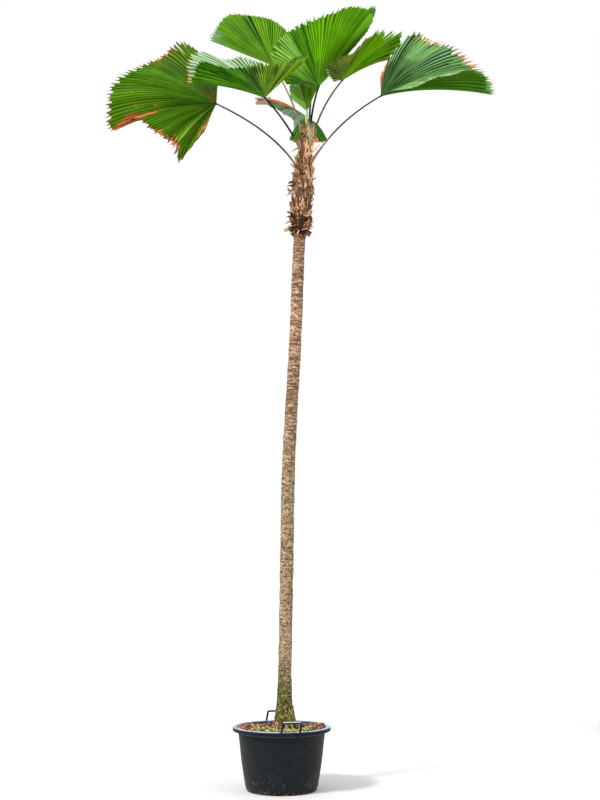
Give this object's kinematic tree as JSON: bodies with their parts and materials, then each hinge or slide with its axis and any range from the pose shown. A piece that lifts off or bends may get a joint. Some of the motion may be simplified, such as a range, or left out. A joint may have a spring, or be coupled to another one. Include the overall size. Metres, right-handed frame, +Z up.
{
  "type": "potted ruffled fan palm",
  "caption": "Tall single-trunked fan palm with pleated, toothed fronds, a collar of old leaf bases and a flared foot, standing in soil in a round flanged nursery pot with wire handles.",
  "frame": {"origin": "centre of the pot's flat underside", "axes": "+Z up along the trunk, -Y towards the front of the plant as pictured, +X to the picture's right"},
  "size_m": [2.7152, 1.5831, 5.6815],
  "materials": {
    "pot_plastic": "matt moulded black polypropylene, scuffed and dusty",
    "handle_wire": "satin black plastic-covered bar",
    "soil": "loose bark-chip potting mix with a little moss and weed",
    "bark": "tan ringed palm bark, mossy green low down",
    "leaf_base_fibre": "dry brown fibrous old leaf bases",
    "leaf_stalk": "smooth dark green leaf stalk",
    "leaf_blade": "semi-gloss bright green pleated leaf with dry brown tooth tips"
  },
  "bodies": {
    "root": {"pot": "pot_plastic", "soil": "soil", "handle_front": "handle_wire", "handle_back": "handle_wire", "trunk": "bark", "leaf_base_1_1": "leaf_base_fibre", "leaf_base_1_2": "leaf_base_fibre", "leaf_base_1_3": "leaf_base_fibre", "leaf_base_2_1": "leaf_base_fibre", "leaf_base_2_2": "leaf_base_fibre", "leaf_base_2_3": "leaf_base_fibre", "leaf_base_3_1": "leaf_base_fibre", "leaf_base_3_2": "leaf_base_fibre", "leaf_base_3_3": "leaf_base_fibre", "leaf_base_4_1": "leaf_base_fibre", "leaf_base_4_2": "leaf_base_fibre", "leaf_base_4_3": "leaf_base_fibre", "leaf_base_5_1": "leaf_base_fibre", "leaf_base_5_2": "leaf_base_fibre", "leaf_base_5_3": "leaf_base_fibre", "leaf_base_6_1": "leaf_base_fibre", "leaf_base_6_2": "leaf_base_fibre", "leaf_base_6_3": "leaf_base_fibre", "leaf_base_7_1": "leaf_base_fibre", "leaf_base_7_2": "leaf_base_fibre", "leaf_base_7_3": "leaf_base_fibre", "stalk_left": "leaf_stalk", "blade_left": "leaf_blade", "stalk_front_left": "leaf_stalk", "blade_front_left": "leaf_blade", "stalk_back_left": "leaf_stalk", "blade_back_left": "leaf_blade", "stalk_front": "leaf_stalk", "blade_front": "leaf_blade", "stalk_front_right": "leaf_stalk", "blade_front_right": "leaf_blade", "stalk_right": "leaf_stalk", "blade_right": "leaf_blade", "stalk_back": "leaf_stalk", "blade_back": "leaf_blade", "stalk_back_right": "leaf_stalk", "blade_back_right": "leaf_blade", "stalk_young": "leaf_stalk", "blade_young": "leaf_blade"}
  },
  "joints": []
}
